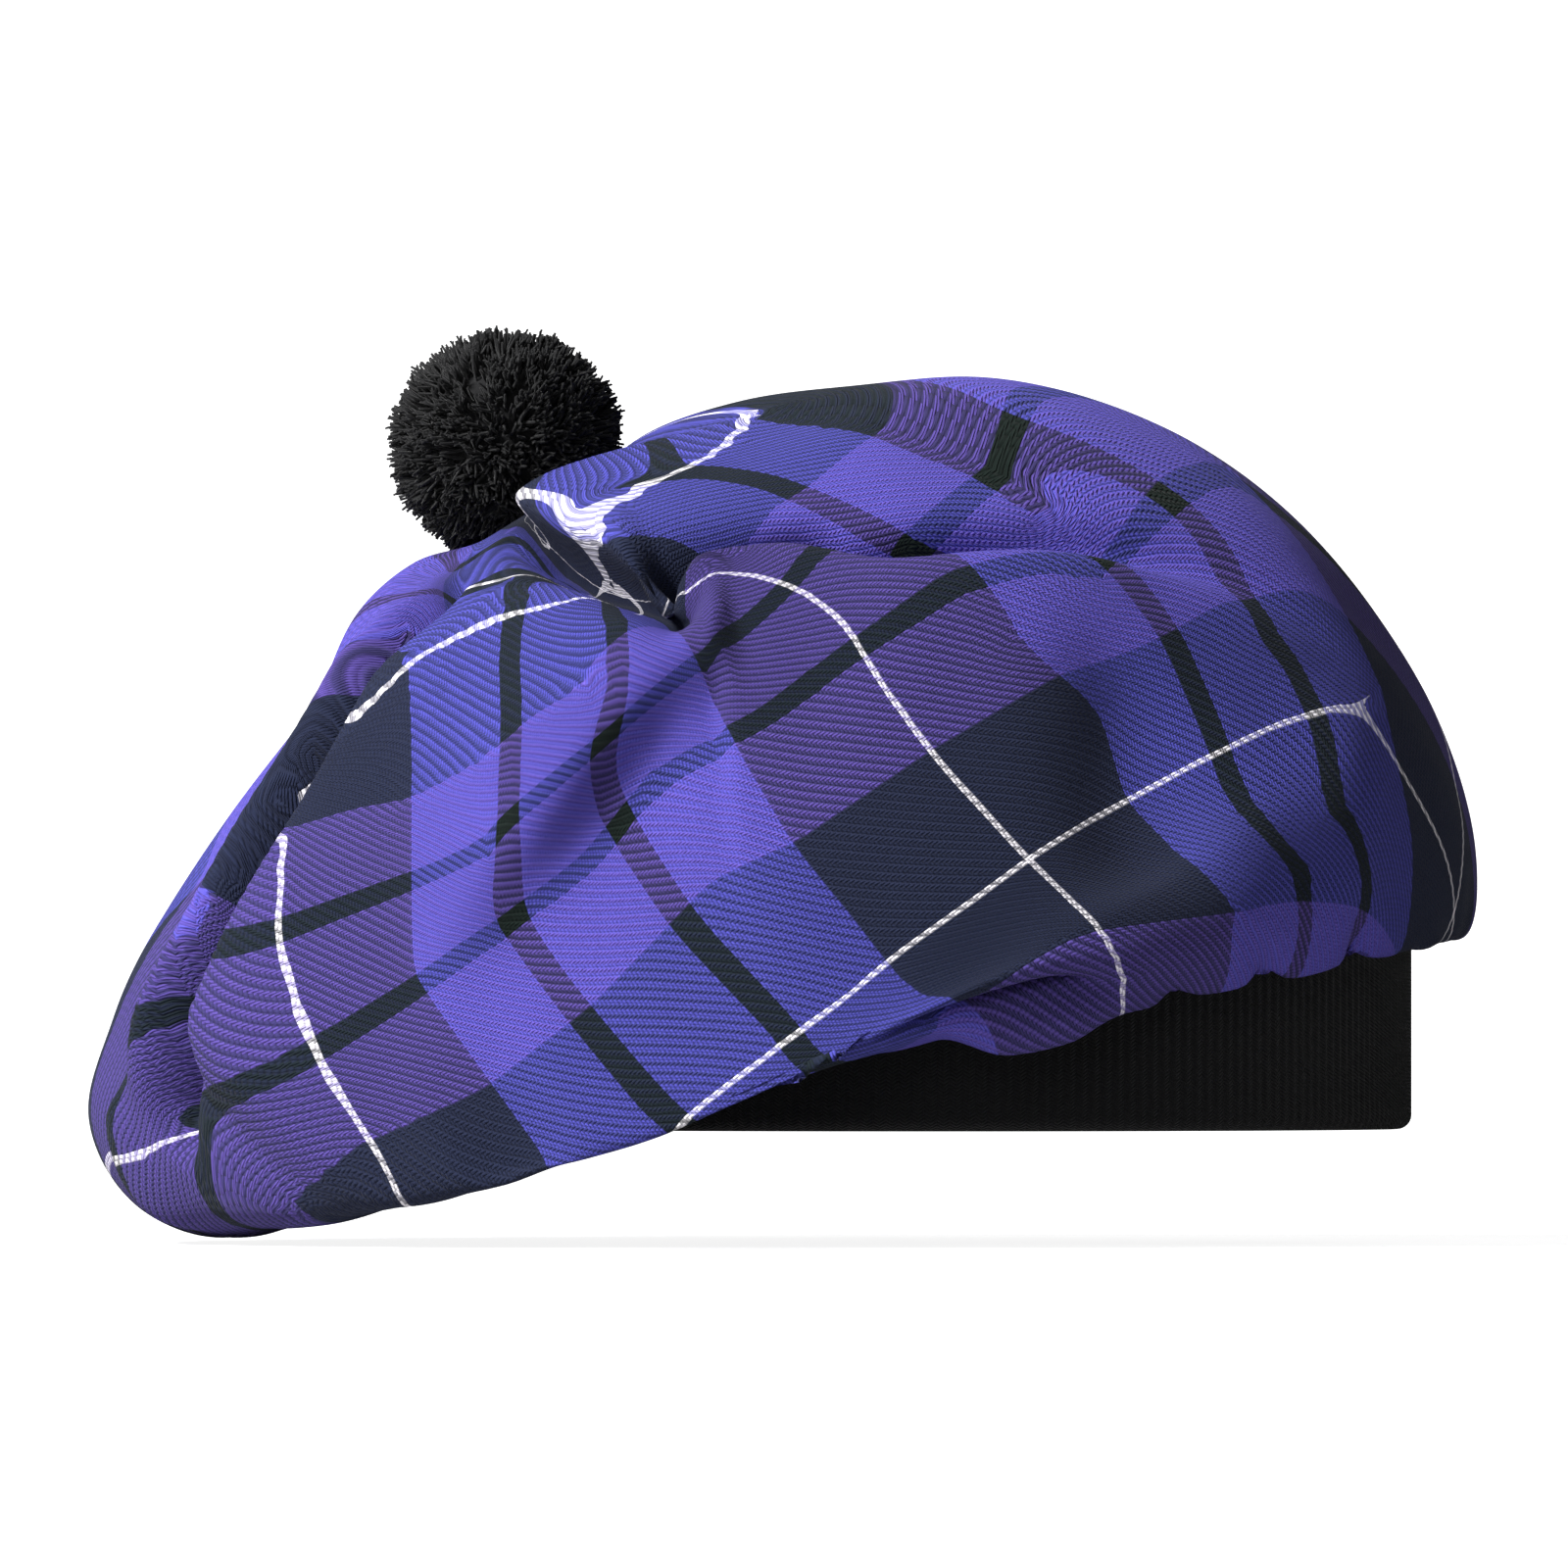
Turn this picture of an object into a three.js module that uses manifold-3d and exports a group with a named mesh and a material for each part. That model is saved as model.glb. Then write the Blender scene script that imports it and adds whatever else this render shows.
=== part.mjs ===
// A tam o' shanter: a wide, floppy cap of tartan cloth gathered into a ribbed knitted headband,
// with a round wool toorie at the middle of its crown. Millimetres, +Z up, front towards -Y.
// The origin is the middle of the head opening at the headband's lower edge. The crown flops
// over to the left and hangs below that edge, as it does on a head.
import * as THREE from "three";
import { mergeVertices } from "three/addons/utils/BufferGeometryUtils.js";
import Module from "manifold-3d";

// Headband
const BAND_RADIUS = 87;
const BAND_WALL = 3;
const BAND_HEIGHT = 34.7;
const HEM_OUTER_ROUND = 2.4;
const HEM_INNER_ROUND = 0.5;
const BAND_SEGMENTS = 72;

// Gap between the pieces, where the seams are
const SEAM_GAP = 0.3;

// Crown: how far the cloth hangs out past the headband, and above and below its seam
const OVERHANG_LEFT = 66.5;
const OVERHANG_RIGHT = 11;
const OVERHANG_FRONT = 26;
const OVERHANG_BACK = 31;
const CROWN_RISE = 102.3;
const FLOP_DEPTH = 53.9;
const CLOTH_THICKNESS = 1.4;
const CLOTH_RADIUS = 250;
const FOLD_HEIGHT = 12;
const FOLD_WIDTH = 26;
const MIDDLE_FADE = 0.12;
const SEAM_FADE = 0.06;
const CROWN_COLUMNS = 88;
const CROWN_RINGS = 22;
const FINEST_SIDE = THREE.MathUtils.degToRad(248);
const COLUMN_CROWDING = 0.5;
const RING_CROWDING = 0.3;

// Toorie
const TOORIE_RADIUS = 21.9;
const TOORIE_SINK = 1.7;
const TOORIE_LEAN_LEFT = THREE.MathUtils.degToRad(37.44);
const TOORIE_LEAN_BACK = THREE.MathUtils.degToRad(14.33);
const TUFT_COUNT = 56;
const TUFT_PROUD = 1.9;
const TUFT_ROOT_WIDTH = 9;
const TUFT_TIP_WIDTH = 3.6;
const TUFT_LENGTH = 5;
const TUFT_SIDES = 5;

// A table's rows as objects with named columns.
function table(columns, rows) {
  return rows.map((row) => Object.fromEntries(columns.map((name, i) => [name, row[i]])));
}

// The crown's rings, from the middle of the cloth out over the rim and back in to the seam.
// left, front and back are shares of the reach to that side. right is a share of the right
// reach, or of the left one where it is negative. A rise is a share of the crown's rise above
// the seam, or of the flop's depth where it is negative, and a sag is a share of that depth.
const RINGS = table(
  ["left", "leftRise", "right", "rightRise", "front", "frontSag", "back", "backSag"],
  [
    [0.443, 0.714, -0.43, 0.723, 0.009, 0, 0.008, 0],
    [0.56, 0.665, -0.365, 0.87, 0.15, 0, 0.144, -0.037],
    [0.671, 0.547, -0.228, 0.948, 0.301, 0, 0.297, -0.056],
    [0.756, 0.381, -0.091, 0.987, 0.451, 0, 0.449, -0.056],
    [0.834, 0.215, 0.071, 0.997, 0.593, 0, 0.593, 0],
    [0.906, 0.049, 0.286, 0.958, 0.717, 0.093, 0.72, 0.056],
    [0.974, -0.26, 0.49, 0.875, 0.832, 0.223, 0.839, 0.13],
    [1, -0.612, 0.653, 0.758, 0.929, 0.408, 0.932, 0.223],
    [0.938, -0.928, 0.806, 0.596, 1, 0.557, 1, 0.334],
    [0.808, -0.993, 0.929, 0.401, 1, 0.278, 1, 0.26],
    [0.691, -0.612, 1, 0.186, 0.947, 0.223, 0.941, 0.148],
    [0.625, -0.278, 0.99, 0.01, 0.858, 0.186, 0.839, 0.074],
  ],
);
const SEAM_RADIUS = BAND_RADIUS + SEAM_GAP;
const REACH_LEFT = BAND_RADIUS + OVERHANG_LEFT;
const REACH_RIGHT = BAND_RADIUS + OVERHANG_RIGHT;
const REACH_FRONT = BAND_RADIUS + OVERHANG_FRONT;
const REACH_BACK = BAND_RADIUS + OVERHANG_BACK;
RINGS.push({
  left: SEAM_RADIUS / REACH_LEFT,
  leftRise: 0,
  right: SEAM_RADIUS / REACH_RIGHT,
  rightRise: 0,
  front: SEAM_RADIUS / REACH_FRONT,
  frontSag: 0,
  back: SEAM_RADIUS / REACH_BACK,
  backSag: 0,
});

// The folds. A fold follows a path on the cloth laid out flat, through points that are shares
// of the cloth's radius from its middle: first to the right, then to the back. height is a share
// of the fold height, negative for a groove. lean is how far it topples over to its steep side,
// as a share of the same height. wide and steep are the widths of its two flanks, as shares of
// the fold width. start and finish are the shares of the path over which it grows and dies
// away, and side is 1 with the steep flank on the path's left and -1 with it on the right.
const FOLDS = table(
  ["path", "height", "lean", "wide", "steep", "start", "finish", "side"],
  [
    // the deep groove down the left, with the front panel toppling over it and a roll beyond
    [[[-0.064, -0.16], [-0.16, -0.272], [-0.304, -0.332], [-0.464, -0.368]],
      0.62, 0.5, 1, 0.38, 0.35, 0.12, -1],
    [[[-0.1, -0.128], [-0.2, -0.232], [-0.352, -0.276], [-0.552, -0.288]],
      -0.9, 0, 0.36, 0.36, 0.25, 0.07, 1],
    [[[-0.12, -0.112], [-0.232, -0.184], [-0.392, -0.232], [-0.552, -0.208]],
      0.28, 0.15, 0.33, 0.33, 0.3, 0.2, -1],
    [[[-0.512, -0.224], [-0.56, -0.208], [-0.6, -0.232], [-0.632, -0.296]],
      0.18, 0.1, 0.54, 0.33, 0.3, 0.4, -1],
    // the overlap below the toorie and the valley that it leans over
    [[[0.016, -0.128], [0.024, -0.232], [0.044, -0.32], [0.1, -0.404]],
      0.58, 0.5, 0.92, 0.33, 0.1, 0.18, -1],
    [[[-0.024, -0.136], [-0.02, -0.24], [0.004, -0.336], [0.064, -0.416]],
      -0.5, 0, 0.31, 0.31, 0.15, 0.18, 1],
    // the ridge that falls to the left from the pinch at that overlap's end
    [[[0.096, -0.424], [0.016, -0.432], [-0.096, -0.472], [-0.248, -0.496]],
      0.58, 0.25, 1, 0.35, 0.12, 0.35, 1],
    // the roll to the right of the pinch, and the crease above it
    [[[0.072, -0.392], [0.152, -0.404], [0.28, -0.416], [0.64, -0.28]],
      0.62, 0.33, 1, 0.38, 0.1, 0.35, 1],
    [[[0.032, -0.344], [0.136, -0.36], [0.264, -0.376], [0.672, -0.216]],
      -0.54, 0, 0.35, 0.35, 0.12, 0.4, 1],
    // soft hollows in the front panels
    [[[-0.312, -0.6], [-0.264, -0.608], [-0.208, -0.608], [-0.152, -0.6]],
      -0.25, 0, 0.35, 0.46, 0.4, 0.4, 1],
    [[[0.416, -0.392], [0.416, -0.472], [0.396, -0.56], [0.432, -0.672]],
      -0.38, 0, 0.54, 0.62, 0.35, 0.35, 1],
    // the hollow under the front rim and the bulge between it and the headband
    [[[0.016, -0.768], [0.112, -0.776], [0.208, -0.784], [0.312, -0.784]],
      -0.62, 0, 0.35, 0.35, 0.35, 0.35, 1],
    [[[0, -0.864], [0.104, -0.872], [0.208, -0.856], [0.336, -0.8]],
      0.38, 0, 0.38, 0.38, 0.35, 0.35, 1],
    // gathers into the seam at the front right
    [[[0.368, -0.76], [0.4, -0.832], [0.416, -0.888], [0.424, -0.944]],
      -0.22, 0, 0.31, 0.31, 0.35, 0.2, 1],
    [[[0.512, -0.672], [0.552, -0.728], [0.576, -0.768], [0.6, -0.808]],
      -0.22, 0, 0.31, 0.31, 0.35, 0.2, 1],
    [[[0.64, -0.52], [0.704, -0.568], [0.752, -0.6], [0.792, -0.632]],
      -0.22, 0, 0.31, 0.31, 0.35, 0.2, 1],
    // soft folds and gathers at the back
    [[[0.08, 0.16], [0.2, 0.32], [0.36, 0.472], [0.48, 0.6]],
      0.5, 0.33, 0.92, 0.35, 0.4, 0.4, 1],
    [[[-0.08, 0.16], [-0.136, 0.344], [-0.16, 0.52], [-0.136, 0.68]],
      0.5, 0.42, 0.85, 0.31, 0.4, 0.4, -1],
    [[[-0.24, 0.096], [-0.384, 0.16], [-0.52, 0.264], [-0.624, 0.4]],
      -0.42, 0, 0.54, 0.54, 0.4, 0.4, 1],
    [[[0.16, 0.76], [0.184, 0.832], [0.2, 0.888], [0.208, 0.944]],
      -0.25, 0, 0.31, 0.31, 0.35, 0.2, 1],
    [[[-0.08, 0.784], [-0.088, 0.848], [-0.096, 0.904], [-0.104, 0.952]],
      -0.25, 0, 0.31, 0.31, 0.35, 0.2, 1],
    [[[0.48, 0.6], [0.52, 0.656], [0.56, 0.712], [0.592, 0.76]],
      -0.25, 0, 0.31, 0.31, 0.35, 0.2, 1],
  ],
);
const PATH_STEPS = 32;

// A smooth step from 0 to 1.
function ease(share) {
  const s = THREE.MathUtils.clamp(share, 0, 1);
  return s * s * (3 - 2 * s);
}

// A value on a smooth curve through a column of a table, at a share of the way down it.
function blend(rows, column, share) {
  const last = rows.length - 1;
  const place = THREE.MathUtils.clamp(share, 0, 1) * last;
  const i = Math.min(Math.floor(place), last - 1);
  const f = place - i;
  const b = rows[i][column];
  const c = rows[i + 1][column];
  const a = i > 0 ? rows[i - 1][column] : 2 * b - c;
  const d = i < last - 1 ? rows[i + 2][column] : 2 * c - b;
  const cubic = (3 * b - a - 3 * c + d) * f + (2 * a - 5 * b + 4 * c - d);
  return 0.5 * ((cubic * f + (c - a)) * f + 2 * b);
}

// Each ring's sides in millimetres.
const SIDES = RINGS.map((ring) => {
  const rise = (share) => share * (share > 0 ? CROWN_RISE : FLOP_DEPTH);
  return {
    left: -ring.left * REACH_LEFT,
    leftHeight: rise(ring.leftRise),
    right: ring.right * (ring.right < 0 ? REACH_LEFT : REACH_RIGHT),
    rightHeight: rise(ring.rightRise),
    front: ring.front * REACH_FRONT,
    frontSag: ring.frontSag * FLOP_DEPTH,
    back: ring.back * REACH_BACK,
    backSag: ring.backSag * FLOP_DEPTH,
  };
});

// The smooth crown, before its folds: angle goes round from the right towards the back, and
// share goes out from the cloth's middle to the seam.
function smoothCrown(angle, share) {
  const side = (name) => blend(SIDES, name, share);
  const across = Math.cos(angle);
  const along = Math.sin(angle);
  const left = side("left");
  const right = side("right");
  const low = side("leftHeight");
  const high = side("rightHeight");
  const depth = side(along < 0 ? "front" : "back");
  const sag = side(along < 0 ? "frontSag" : "backSag");
  return new THREE.Vector3(
    (left + right) / 2 + ((right - left) / 2) * across,
    depth * along,
    (low + high) / 2 + ((high - low) / 2) * across - sag * along * along,
  );
}

// Each fold's path as short straight pieces on the flat cloth.
for (const fold of FOLDS) {
  const points = fold.path.map(([right, back]) => {
    return new THREE.Vector3(right * CLOTH_RADIUS, back * CLOTH_RADIUS, 0);
  });
  fold.line = new THREE.CatmullRomCurve3(points, false, "catmullrom", 0.5).getPoints(PATH_STEPS);
}

// Where a point of the flat cloth lies beside a fold: its distance, to the left of the path if
// positive, its share of the way along, and the direction across the path.
function beside(line, right, back) {
  let best = { distance: Infinity };
  for (let i = 0; i < line.length - 1; i++) {
    const stepX = line[i + 1].x - line[i].x;
    const stepY = line[i + 1].y - line[i].y;
    const length = Math.hypot(stepX, stepY);
    const x = right - line[i].x;
    const y = back - line[i].y;
    const s = THREE.MathUtils.clamp((x * stepX + y * stepY) / length ** 2, 0, 1);
    const distance = Math.hypot(x - s * stepX, y - s * stepY);
    if (distance < best.distance) {
      best = {
        distance,
        left: Math.sign(stepX * y - stepY * x) * distance,
        share: (i + s) / (line.length - 1),
        acrossX: -stepY / length,
        acrossY: stepX / length,
      };
    }
  }
  return best;
}

// The crown with its folds.
function foldedCrown(angle, share) {
  const step = 1e-3;
  const place = smoothCrown(angle, share);
  const round = smoothCrown(angle + step, share)
    .sub(smoothCrown(angle - step, share))
    .divideScalar(2 * step);
  const outer = Math.min(share + step, 1);
  const inner = Math.max(share - step, 0);
  const outwards = smoothCrown(angle, outer)
    .sub(smoothCrown(angle, inner))
    .divideScalar((outer - inner) * CLOTH_RADIUS);
  const normal = new THREE.Vector3().crossVectors(outwards, round).normalize();
  const radius = Math.max(share * CLOTH_RADIUS, 1e-6);
  const right = radius * Math.cos(angle);
  const back = radius * Math.sin(angle);
  const alongRight = outwards.clone().multiplyScalar(Math.cos(angle));
  alongRight.addScaledVector(round, -Math.sin(angle) / radius);
  const alongBack = outwards.clone().multiplyScalar(Math.sin(angle));
  alongBack.addScaledVector(round, Math.cos(angle) / radius);
  const fade = ease(share / MIDDLE_FADE) * ease((1 - share) / SEAM_FADE);
  for (const fold of FOLDS) {
    const near = beside(fold.line, right, back);
    const off = near.left * fold.side;
    const width = FOLD_WIDTH * (off > 0 ? fold.steep : fold.wide);
    const grown = ease(near.share / fold.start) * ease((1 - near.share) / fold.finish);
    const strength = Math.exp(-((off / width) ** 2)) * grown * fade * FOLD_HEIGHT;
    if (strength < 1e-4) continue;
    const topple = alongRight.clone().multiplyScalar(near.acrossX * fold.side);
    topple.addScaledVector(alongBack, near.acrossY * fold.side).normalize();
    place.addScaledVector(normal, fold.height * strength);
    place.addScaledVector(topple, fold.lean * strength);
  }
  place.z += BAND_HEIGHT + SEAM_GAP;
  return place;
}

// A closed mesh from corner points and triangles.
function meshOf(points, triangles) {
  const geometry = new THREE.BufferGeometry();
  const numbers = points.flatMap((point) => [point.x, point.y, point.z]);
  geometry.setAttribute("position", new THREE.Float32BufferAttribute(numbers, 3));
  geometry.setIndex(triangles.flat());
  geometry.computeVertexNormals();
  return geometry;
}

// The crown's cloth as a grid of points, with the columns and rings closest together where the
// folds are, and the direction out of the cloth at each point.
function crownGrid() {
  const rings = [];
  for (let j = 1; j <= CROWN_RINGS; j++) {
    const even = j / CROWN_RINGS;
    const share = even + (RING_CROWDING * Math.sin(2 * Math.PI * even)) / (2 * Math.PI);
    const ring = [];
    for (let i = 0; i < CROWN_COLUMNS; i++) {
      const turn = (i / CROWN_COLUMNS) * 2 * Math.PI;
      const angle = turn - COLUMN_CROWDING * Math.sin(turn - FINEST_SIDE);
      const step = 4e-3;
      const out = Math.min(share + step, 1);
      const place = foldedCrown(angle, share);
      const round = foldedCrown(angle + step, share).sub(foldedCrown(angle - step, share));
      const outwards = foldedCrown(angle, out).sub(foldedCrown(angle, share - step));
      const normal = new THREE.Vector3().crossVectors(outwards, round).normalize();
      ring.push({ place, normal });
    }
    rings.push(ring);
  }
  return rings;
}

const GRID = crownGrid();

// One side of the cloth, moved off it by a distance: a point at the middle, then the rings.
function clothSide(distance) {
  const middle = smoothCrown(0, 0).add(smoothCrown(Math.PI, 0)).divideScalar(2);
  middle.z += BAND_HEIGHT + SEAM_GAP;
  const up = new THREE.Vector3();
  for (const point of GRID[0]) up.add(point.normal);
  const points = [middle.addScaledVector(up.normalize(), distance)];
  for (const ring of GRID) {
    for (const point of ring) {
      points.push(point.place.clone().addScaledVector(point.normal, distance));
    }
  }
  return points;
}

// Triangles over one side of the cloth, facing out, or in when turned.
function clothTriangles(first, turned) {
  const triangles = [];
  const add = (a, b, c) => triangles.push(turned ? [a, c, b] : [a, b, c]);
  const at = (ring, column) => first + 1 + ring * CROWN_COLUMNS + (column % CROWN_COLUMNS);
  const place = (ring, column) => GRID[ring][column % CROWN_COLUMNS].place;
  for (let i = 0; i < CROWN_COLUMNS; i++) {
    add(first, at(0, i), at(0, i + 1));
    for (let j = 0; j < CROWN_RINGS - 1; j++) {
      // each small square is cut along its shorter diagonal, which follows the folds
      const down = place(j, i).distanceTo(place(j + 1, i + 1));
      const up = place(j + 1, i).distanceTo(place(j, i + 1));
      if (down < up) {
        add(at(j, i), at(j + 1, i), at(j + 1, i + 1));
        add(at(j, i), at(j + 1, i + 1), at(j, i + 1));
      } else {
        add(at(j, i), at(j + 1, i), at(j, i + 1));
        add(at(j + 1, i), at(j + 1, i + 1), at(j, i + 1));
      }
    }
  }
  return triangles;
}

// The crown: two sides of cloth, joined round the edge that is sewn to the headband.
function crownCloth() {
  const outside = clothSide(0);
  const inside = clothSide(-CLOTH_THICKNESS);
  const first = outside.length;
  const triangles = [...clothTriangles(0, false), ...clothTriangles(first, true)];
  const edge = first - CROWN_COLUMNS;
  for (let i = 0; i < CROWN_COLUMNS; i++) {
    const next = (i + 1) % CROWN_COLUMNS;
    triangles.push([edge + i, first + edge + i, first + edge + next]);
    triangles.push([edge + i, first + edge + next, edge + next]);
  }
  return meshOf([...outside, ...inside], triangles);
}

// The room that the crown takes up, filled in and grown by the seam gap.
function crownRoom() {
  const outside = clothSide(SEAM_GAP);
  const triangles = clothTriangles(0, false);
  const centre = outside.length;
  const edge = centre - CROWN_COLUMNS;
  outside.push(new THREE.Vector3(0, 0, BAND_HEIGHT));
  for (let i = 0; i < CROWN_COLUMNS; i++) {
    triangles.push([edge + i, centre, edge + ((i + 1) % CROWN_COLUMNS)]);
  }
  return meshOf(outside, triangles);
}

// The headband: a knitted tube with a rounded lower hem.
function headbandTube() {
  const inner = BAND_RADIUS - BAND_WALL;
  const profile = [new THREE.Vector2(inner, BAND_HEIGHT)];
  const corner = (radius, x, fromDegrees, toDegrees, steps) => {
    for (let i = 0; i <= steps; i++) {
      const turn = THREE.MathUtils.degToRad(fromDegrees + ((toDegrees - fromDegrees) * i) / steps);
      const out = x + radius * Math.cos(turn);
      profile.push(new THREE.Vector2(out, radius + radius * Math.sin(turn)));
    }
  };
  corner(HEM_INNER_ROUND, inner + HEM_INNER_ROUND, 180, 270, 1);
  corner(HEM_OUTER_ROUND, BAND_RADIUS - HEM_OUTER_ROUND, 270, 360, 4);
  profile.push(new THREE.Vector2(BAND_RADIUS, BAND_HEIGHT));
  profile.push(profile[0].clone());
  return new THREE.LatheGeometry(profile, BAND_SEGMENTS);
}

const wasm = await Module();
wasm.setup();

// A closed geometry as a solid that can be joined and cut, and back again.
function solidOf(geometry) {
  const bare = geometry.clone();
  bare.deleteAttribute("normal");
  bare.deleteAttribute("uv");
  const merged = mergeVertices(bare, 1e-4);
  return new wasm.Manifold(
    new wasm.Mesh({
      numProp: 3,
      vertProperties: new Float32Array(merged.attributes.position.array),
      triVerts: new Uint32Array(merged.index.array),
    }),
  );
}
function geometryOf(solid) {
  const mesh = solid.getMesh();
  const geometry = new THREE.BufferGeometry();
  geometry.setAttribute("position", new THREE.BufferAttribute(mesh.vertProperties, 3));
  geometry.setIndex(new THREE.BufferAttribute(mesh.triVerts, 1));
  geometry.computeVertexNormals();
  return geometry;
}

// The toorie: tufts of cut wool spread evenly over a round head and fused to it, pressed flat
// where it sits on the cloth.
function toorieBall() {
  let ball = solidOf(new THREE.IcosahedronGeometry(TOORIE_RADIUS - TUFT_PROUD, 3));
  const golden = Math.PI * (3 - Math.sqrt(5));
  for (let i = 0; i < TUFT_COUNT; i++) {
    const height = 1 - (2 * (i + 0.5)) / TUFT_COUNT;
    const flat = Math.sqrt(1 - height * height);
    const way = new THREE.Vector3(flat * Math.cos(golden * i), flat * Math.sin(golden * i), height);
    const proud = TUFT_PROUD * (0.75 + 0.25 * Math.sin(i * 2.4));
    const tuft = new THREE.CylinderGeometry(
      TUFT_TIP_WIDTH / 2,
      TUFT_ROOT_WIDTH / 2,
      TUFT_LENGTH,
      TUFT_SIDES,
    );
    tuft.translate(0, TOORIE_RADIUS - TUFT_PROUD + proud - TUFT_LENGTH / 2, 0);
    tuft.applyQuaternion(new THREE.Quaternion().setFromUnitVectors(new THREE.Vector3(0, 1, 0), way));
    ball = ball.add(solidOf(tuft));
  }
  // the ball sits on the middle of the cloth, leaning to the left and back, and sunk into it
  const place = new THREE.Vector3(
    -Math.sin(TOORIE_LEAN_LEFT) * Math.cos(TOORIE_LEAN_BACK),
    Math.sin(TOORIE_LEAN_BACK),
    Math.cos(TOORIE_LEAN_LEFT) * Math.cos(TOORIE_LEAN_BACK),
  ).multiplyScalar(TOORIE_RADIUS - TOORIE_SINK);
  place.add(smoothCrown(0, 0));
  const placed = ball.translate([place.x, place.y, BAND_HEIGHT + SEAM_GAP + place.z]);
  const parts = placed.subtract(solidOf(crownRoom())).decompose();
  parts.sort((a, b) => b.volume() - a.volume());
  return geometryOf(parts[0]);
}

const tartanCloth = new THREE.MeshStandardMaterial({ color: 0x2a2168, roughness: 0.9, metalness: 0 });
const blackKnit = new THREE.MeshStandardMaterial({ color: 0x0b0b0c, roughness: 0.95, metalness: 0 });
const blackWool = new THREE.MeshStandardMaterial({ color: 0x08080a, roughness: 1, metalness: 0 });

function piece(name, geometry, material) {
  const mesh = new THREE.Mesh(geometry, material);
  mesh.name = name;
  return mesh;
}

const group = new THREE.Group();
const headband = piece("headband", headbandTube(), blackKnit);
headband.rotation.x = Math.PI / 2;
group.add(piece("crown", crownCloth(), tartanCloth));
group.add(headband);
group.add(piece("toorie", toorieBall(), blackWool));

export default group;
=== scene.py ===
# A tam o' shanter: a wide, floppy cap of tartan cloth gathered into a ribbed knitted headband,
# with a round wool toorie at the middle of its crown. The tables are in millimetres, with the
# front towards -Y, and the headband's lower edge at height 0. Blender works in metres.
import math
import bpy
import numpy as np
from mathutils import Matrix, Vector
from mathutils.bvhtree import BVHTree


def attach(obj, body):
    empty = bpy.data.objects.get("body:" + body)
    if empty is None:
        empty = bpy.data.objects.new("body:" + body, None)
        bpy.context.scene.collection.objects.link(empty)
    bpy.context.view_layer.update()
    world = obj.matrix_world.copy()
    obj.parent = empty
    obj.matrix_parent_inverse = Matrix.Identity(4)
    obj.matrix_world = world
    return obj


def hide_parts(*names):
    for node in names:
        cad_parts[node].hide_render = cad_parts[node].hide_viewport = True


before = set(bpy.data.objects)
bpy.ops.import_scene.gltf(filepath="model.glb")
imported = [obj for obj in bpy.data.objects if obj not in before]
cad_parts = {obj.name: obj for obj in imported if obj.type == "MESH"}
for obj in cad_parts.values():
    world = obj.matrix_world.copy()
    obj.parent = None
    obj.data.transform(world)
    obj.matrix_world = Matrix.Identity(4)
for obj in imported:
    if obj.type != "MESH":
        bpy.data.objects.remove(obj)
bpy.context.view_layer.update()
MM = 0.001

# Headband
BAND_RADIUS = 87.0
BAND_WALL = 3.0
BAND_HEIGHT = 34.7
HEM_OUTER_ROUND = 2.6
HEM_INNER_ROUND = 0.4
BAND_RIBS = 238
STEPS_A_RIB = 4
RIB_DEPTH = 0.42
RIB_AT_EDGE = 0.35              # the share of a rib's depth that is left at the hem and the top
COURSE_HEIGHT = 0.66

# Crown: how far the cloth reaches from the headband's axis, and above and below its seam
SEAM_GAP = 0.3
REACH_LEFT = 153.5
REACH_RIGHT = 98.0
REACH_FRONT = 113.0
REACH_BACK = 118.0
CROWN_RISE = 102.3
FLOP_DEPTH = 53.9
CLOTH_THICKNESS = 1.4
CLOTH_RADIUS = 250.0
FOLD_HEIGHT = 12.0
FOLD_WIDTH = 26.0
MIDDLE_FADE = 0.12              # shares of the cloth's radius over which the folds fade out
SEAM_FADE = 0.06
UNDER_TOORIE = 30.0             # round the toorie and along a tuck, cloth counts as hidden
TUCK_WIDTH = 9.0
WAVES = 14
WAVE_LENGTHS = (22, 70)
WAVE_FLATNESS = 400             # a wave's length over its height
COLUMNS = 320
RINGS_OUT = 216
INSIDE_STEP = 3                 # the inner face has every third ring
FINEST_SIDE = math.radians(250)  # the columns of the mesh crowd together at the front
COLUMN_CROWDING = 0.5
THREAD = 0.571

# Toorie
TOORIE_RADIUS = 21.9
TOORIE_PLACE = (-77.9, 5.0, 124.5)
TOORIE_HEAD = 16.5
YARN_ENDS = 5200
YARN_CLUMPS = 620
YARN_THICKNESS = 0.62
YARN_TAPER = (1, 1.1, 1.1, 0.8)  # shares of that thickness from root to tip
YARN_TWIST = 0.3
YARN_SWAY = 0.5
YARN_ROOT_DEPTH = 2.5
YARN_CLEARANCE = 0.1            # from the crown's cloth
LONGEST_YARN = 0.9              # past the toorie's radius

# Studio, in metres but for the view, which is in millimetres
FLOOR_GAP = 0.0008
FLOOR_FRONT = -6.0
FLOOR_HALF_WIDTH = 3.0
SWEEP_START = 1.4
SWEEP_RADIUS = 0.8
SWEEP_TOP = 3.2
SWEEP_STEPS = 12
PAPER_GLOW = 0.88
VIEW_FROM = np.array([-27.3, -4000.0, 22.0])
VIEW_WIDTH = 285.7
VIEW_MIDDLE_HEIGHT = 62.86
SENSOR_WIDTH = 36


def table(names, rows):
    """A table's rows as dictionaries with named columns."""
    return [dict(zip(names.split(), row)) for row in rows]


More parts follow.
